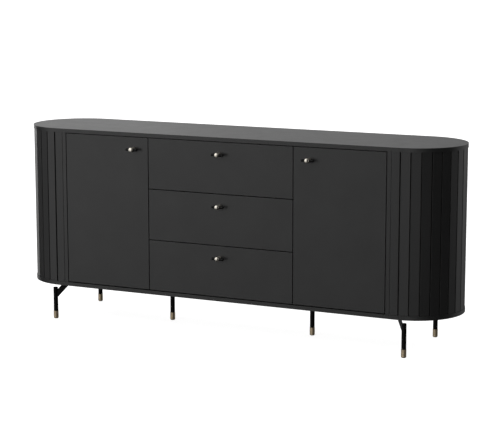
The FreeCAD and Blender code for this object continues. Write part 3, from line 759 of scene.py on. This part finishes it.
def hinge_cups(side, cups, back):
    """Pressed cups, each with a rim, a screwed flange and the pin of its links."""
    metal, slots = new_bmesh(), new_bmesh()
    wide, tall, thick = FLANGE
    inner = CUP_RADIUS - CUP_WALL
    corner = 1.5 * MM
    pin_radius, pin_above_floor = 1.5 * MM, 4.5 * MM
    for cup in cups:
        spot, floor = middle(cup), cup[0].y
        place = at(spot.x, 0, spot.z, tip=(0, 1, 0))
        rim = back + thick + 0.2 * MM
        profile = [(0, floor), *arc((CUP_RADIUS - corner, floor + corner), corner, -90, 90),
                   (CUP_RADIUS, back), (CUP_RADIUS + 1.3 * MM, back), (CUP_RADIUS + 1.3 * MM, rim - 0.4 * MM),
                   (CUP_RADIUS + 0.8 * MM, rim), (inner, rim), (inner, floor + 2.2 * MM),
                   (inner - 1.2 * MM, floor + CUP_WALL), (0, floor + CUP_WALL)]
        add_lathe(metal, profile, 64, place, worn=(9, 10))
        for way in (-1, 1):
            ear = tall / 2 - CUP_RADIUS * 0.72
            middle_z = spot.z + way * (tall / 2 - ear / 2)
            plate = rounded_rectangle(wide, ear, 3 * MM)
            placing = at(spot.x, 0, middle_z, tip=(0, 1, 0))
            add_prism(metal, plate, back, back + thick, 0.3 * MM, placing=placing)
            screw = (spot.x, back + thick, spot.z + way * (tall / 2 - 4.4 * MM))
            screw_head(metal, slots, screw, (0, 1, 0), 3.2 * MM, 1.2 * MM, 30 * way)
        pin = [(0, -inner), (pin_radius, -inner), (pin_radius, inner), (0, inner)]
        add_lathe(metal, pin, 20, at(spot.x, floor + pin_above_floor, spot.z))
    finish_mesh(f"hinge_cups_{side}_mesh", metal, f"hinge_cups_{side}", cut=slots)


def hinge_mounts():
    """A winged plate on the side panel with the hinge arm clipped over it."""
    metal, slots = new_bmesh(), new_bmesh()
    plate_steel, arm_tall, wing_deep = 3 * MM, 15 * MM, 17 * MM
    wing_from_back, slot_from_front = 23 * MM, 18 * MM
    for low, high in solids("hinge_mounts"):
        spot = middle((low, high))
        sign = 1 if spot.x > 0 else -1
        wall, way = (high.x, (-1, 0, 0)) if sign > 0 else (low.x, (1, 0, 0))
        arm_thick, tall = high.x - low.x, high.z - low.z
        wing_y = high.y - wing_from_back
        place = at(wall, wing_y, spot.z, tip=way)
        wings = rounded_rectangle(wing_deep, tall, 6 * MM)
        add_prism(metal, wings, 0, plate_steel, 0.4 * MM, placing=place)
        rails = sorted((wall, wall - sign * (arm_thick - 0.1 * MM)))
        near = (rails[0], low.y, spot.z - arm_tall / 2)
        far = (rails[1], high.y, spot.z + arm_tall / 2)
        add_box(metal, near, far, 1.6 * MM, 4)
        for step in (-1, 1):
            head = (wall - sign * plate_steel, wing_y, spot.z + step * (tall / 2 - 6 * MM))
            screw_head(metal, slots, head, way, 4 * MM, 1.6 * MM, 15 * step)
        crest = wall - sign * (arm_thick - 0.5 * MM)
        for y in (low.y + slot_from_front, high.y - wing_from_back):
            screw_head(metal, slots, (crest, y, spot.z), way, 4.2 * MM, 0.4 * MM, 40)
    finish_mesh("hinge_mounts_mesh", metal, "hinge_mounts", cut=slots)


# ------------------------------------------------------------------ drawers
RAIL_STEEL = 1.2 * MM
RAIL_BEND = 2.4 * MM


def make_drawer(name):
    """A drawer box with its front, runners and knob."""
    owner = f"drawer_{name}"
    eased_boards(f"{owner}_front", radius=FRONT_EASE)
    eased_boards(f"{owner}_sides", f"{owner}_back", radius=0.9 * MM)
    eased_boards(f"{owner}_base", radius=0.3 * MM)
    runners(f"{owner}_rails", 1)
    make_knob(owner)


def runners(node, outward):
    """Folded steel channels that face away from the middle (1) or towards it (-1)."""
    steel = new_bmesh()
    rivet = [(0, -0.3 * MM), (3 * MM, -0.3 * MM), (3 * MM, 0.3 * MM), (2.2 * MM, 0.8 * MM), (0, 1 * MM)]
    for low, high in solids(node):
        spot = middle((low, high))
        way = outward if spot.x > 0 else -outward
        web = low.x if way > 0 else high.x
        deep, half = high.x - low.x, (high.z - low.z) / 2
        inner = RAIL_BEND - RAIL_STEEL
        outer_side = [(deep, -half), *arc((RAIL_BEND, RAIL_BEND - half), RAIL_BEND, -90, -90),
                      *arc((RAIL_BEND, half - RAIL_BEND), RAIL_BEND, 180, -90), (deep, half)]
        inner_side = [(deep, half - RAIL_STEEL), *arc((RAIL_BEND, half - RAIL_BEND), inner, 90, 90),
                      *arc((RAIL_BEND, RAIL_BEND - half), inner, 180, 90), (deep, RAIL_STEEL - half)]
        outline = [(web + way * u, v) for u, v in outer_side + inner_side]
        upright = Matrix.Translation((0, 0, spot.z)) @ Matrix.Rotation(math.radians(90), 4, "X")
        add_prism(steel, outline, -high.y, -low.y, placing=upright)
        face = web + way * RAIL_STEEL
        for share in (0.1, 0.5, 0.9):
            y = low.y + share * (high.y - low.y)
            add_lathe(steel, rivet, 24, at(face, y, spot.z, tip=(way, 0, 0)))
    finish_mesh(f"{node}_mesh", steel, node)


# ------------------------------------------------------------------ the whole sideboard
def make_sideboard():
    """Give every CAD node its finish, then make the pieces that stand for most of them."""
    for name, item in frame["nodes"].items():
        item.data.materials.clear()
        item.data.materials.append(MATERIALS[SLOTS[name]])
    make_carcass()
    for side, sign in SIDES.items():
        make_slats(side, sign)
        make_leg(f"middle_{side}", 0.3 * MM)
        make_door(side)
    for corner, (sx, sy) in CORNERS.items():
        make_leg(corner, 1 * MM)
        plate_offset = make_arm(corner, sx, sy)
    make_plates(plate_offset)
    make_feet()
    hinge_mounts()
    for name in DRAWERS:
        make_drawer(name)
    runners("cabinet_rails", -1)


# ------------------------------------------------------------------ camera, floor and light
# The lens and sensor are in millimetres, the camera's place in metres and its turn in degrees.
LENS, SENSOR = 118.38, 36
CAMERA_SPOT = (2.8632, -5.9454, 1.5829)
CAMERA_TURN = (80.123, 0, 25.352)
FLOOR_REACH = 40
# How bright each direction of the room is: degrees from the front (0) round to the right (+), brightness.
# A ramp holds 32 stops, and two of them are its ends.
ROOM = (
    (-165, 0.45), (-161, 0.5), (-159, 0.62), (-153, 0.58), (-151.6, 0.95), (-150.2, 0.95), (-148.6, 0.75),
    (-141, 1.05), (-127, 2.5), (-118, 2.2), (-112, 0.06), (-92, 0.04), (-76, 0.35), (-60, 0.9),
    (-44, 1.7), (-24, 2.1), (-21, 0.06), (-7, 0.06), (-5, 1.9), (10, 1.3), (25, 0.5), (45, 0.1),
    (70, 0.02), (100, 0.02), (108, 0.04), (121, 0.6), (142, 0.8), (162, 0.5),
)
BACKDROP = 0.4
# Where the room fades, by the height of the direction: start, end and the brightness it ends at.
CEILING = (0.35, 0.95, 0.5)
UNDERFOOT = (-0.05, -0.34, 0.04)


def set_stage():
    """The camera and the floor."""
    scene = bpy.context.scene
    scene.view_settings.view_transform = "Standard"
    camera = bpy.data.objects.new("camera", bpy.data.cameras.new("camera"))
    scene.collection.objects.link(camera)
    scene.camera = camera
    camera.data.sensor_width = SENSOR
    camera.data.lens = LENS
    camera.location = CAMERA_SPOT
    camera.rotation_euler = [math.radians(degrees) for degrees in CAMERA_TURN]
    camera.data.clip_end = 100

    bm = new_bmesh()
    bmesh.ops.create_grid(bm, x_segments=1, y_segments=1, size=FLOOR_REACH)
    mesh = bpy.data.meshes.new("floor")
    bm.to_mesh(mesh)
    bm.free()
    floor = bpy.data.objects.new("floor", mesh)
    scene.collection.objects.link(floor)
    mesh.materials.append(floor_material())
    floor.visible_diffuse = False
    floor.visible_glossy = False


def floor_material():
    """A pale seamless floor that glows until it burns out to white.

    Only the camera sees it, so the room's own light stands in for what it would throw back.
    """
    f = Finish("pale_floor", Roughness=0.9)
    f.set("Base Color", f.blend(f.noise(3, 3), grey(0.88), grey(0.92)))
    f.set("Specular IOR Level", 0.0)
    f.set("Emission Color", (1.0, 1.0, 1.0, 1.0))
    f.set("Emission Strength", 0.85)
    return f.material


def light_room():
    """A studio that is bright behind and to the front left, with an unlit right side.

    A dark band just left of the front is what the ends of the knobs reflect. The room fades towards the
    ceiling and below the horizon. The camera itself sees plain white.
    """
    world = bpy.data.worlds.new("studio")
    bpy.context.scene.world = world
    world.use_nodes = True
    tree = world.node_tree
    tree.nodes.clear()

    def add(kind, **settings):
        node = tree.nodes.new(kind)
        for key, value in settings.items():
            setattr(node, key, value)
        return node

    link = tree.links.new
    way = add("ShaderNodeTexCoord").outputs["Generated"]
    split = add("ShaderNodeSeparateXYZ")
    link(way, split.inputs[0])
    flip = add("ShaderNodeMath", operation="MULTIPLY")
    link(split.outputs["Y"], flip.inputs[0])
    flip.inputs[1].default_value = -1.0
    bearing = add("ShaderNodeMath", operation="ARCTAN2")
    link(split.outputs["X"], bearing.inputs[0])
    link(flip.outputs[0], bearing.inputs[1])
    share = add("ShaderNodeMapRange")
    link(bearing.outputs[0], share.inputs["Value"])
    share.inputs["From Min"].default_value = -math.pi
    share.inputs["From Max"].default_value = math.pi
    ramp = add("ShaderNodeValToRGB")
    link(share.outputs["Result"], ramp.inputs["Fac"])
    stops = ramp.color_ramp.elements
    stops[0].color = stops[1].color = (*grey(BACKDROP), 1)
    for degrees, value in ROOM:
        stops.new(degrees / 360 + 0.5).color = (*grey(value), 1)
    glow = ramp.outputs["Color"]
    for start, end, level in (CEILING, UNDERFOOT):
        height = add("ShaderNodeMapRange")
        link(split.outputs["Z"], height.inputs["Value"])
        height.inputs["From Min"].default_value = start
        height.inputs["From Max"].default_value = end
        join = add("ShaderNodeMix", data_type="RGBA")
        link(height.outputs["Result"], join.inputs["Factor"])
        link(glow, join.inputs[6])
        join.inputs[7].default_value = (*grey(level), 1)
        glow = join.outputs[2]
    lit = add("ShaderNodeBackground")
    link(glow, lit.inputs["Color"])
    seen = add("ShaderNodeBackground")
    path = add("ShaderNodeLightPath")
    choose = add("ShaderNodeMixShader")
    link(path.outputs["Is Camera Ray"], choose.inputs["Fac"])
    link(lit.outputs[0], choose.inputs[1])
    link(seen.outputs[0], choose.inputs[2])
    seen.inputs["Color"].default_value = (1, 1, 1, 1)
    link(choose.outputs[0], add("ShaderNodeOutputWorld").inputs["Surface"])


set_stage()
light_room()
make_sideboard()
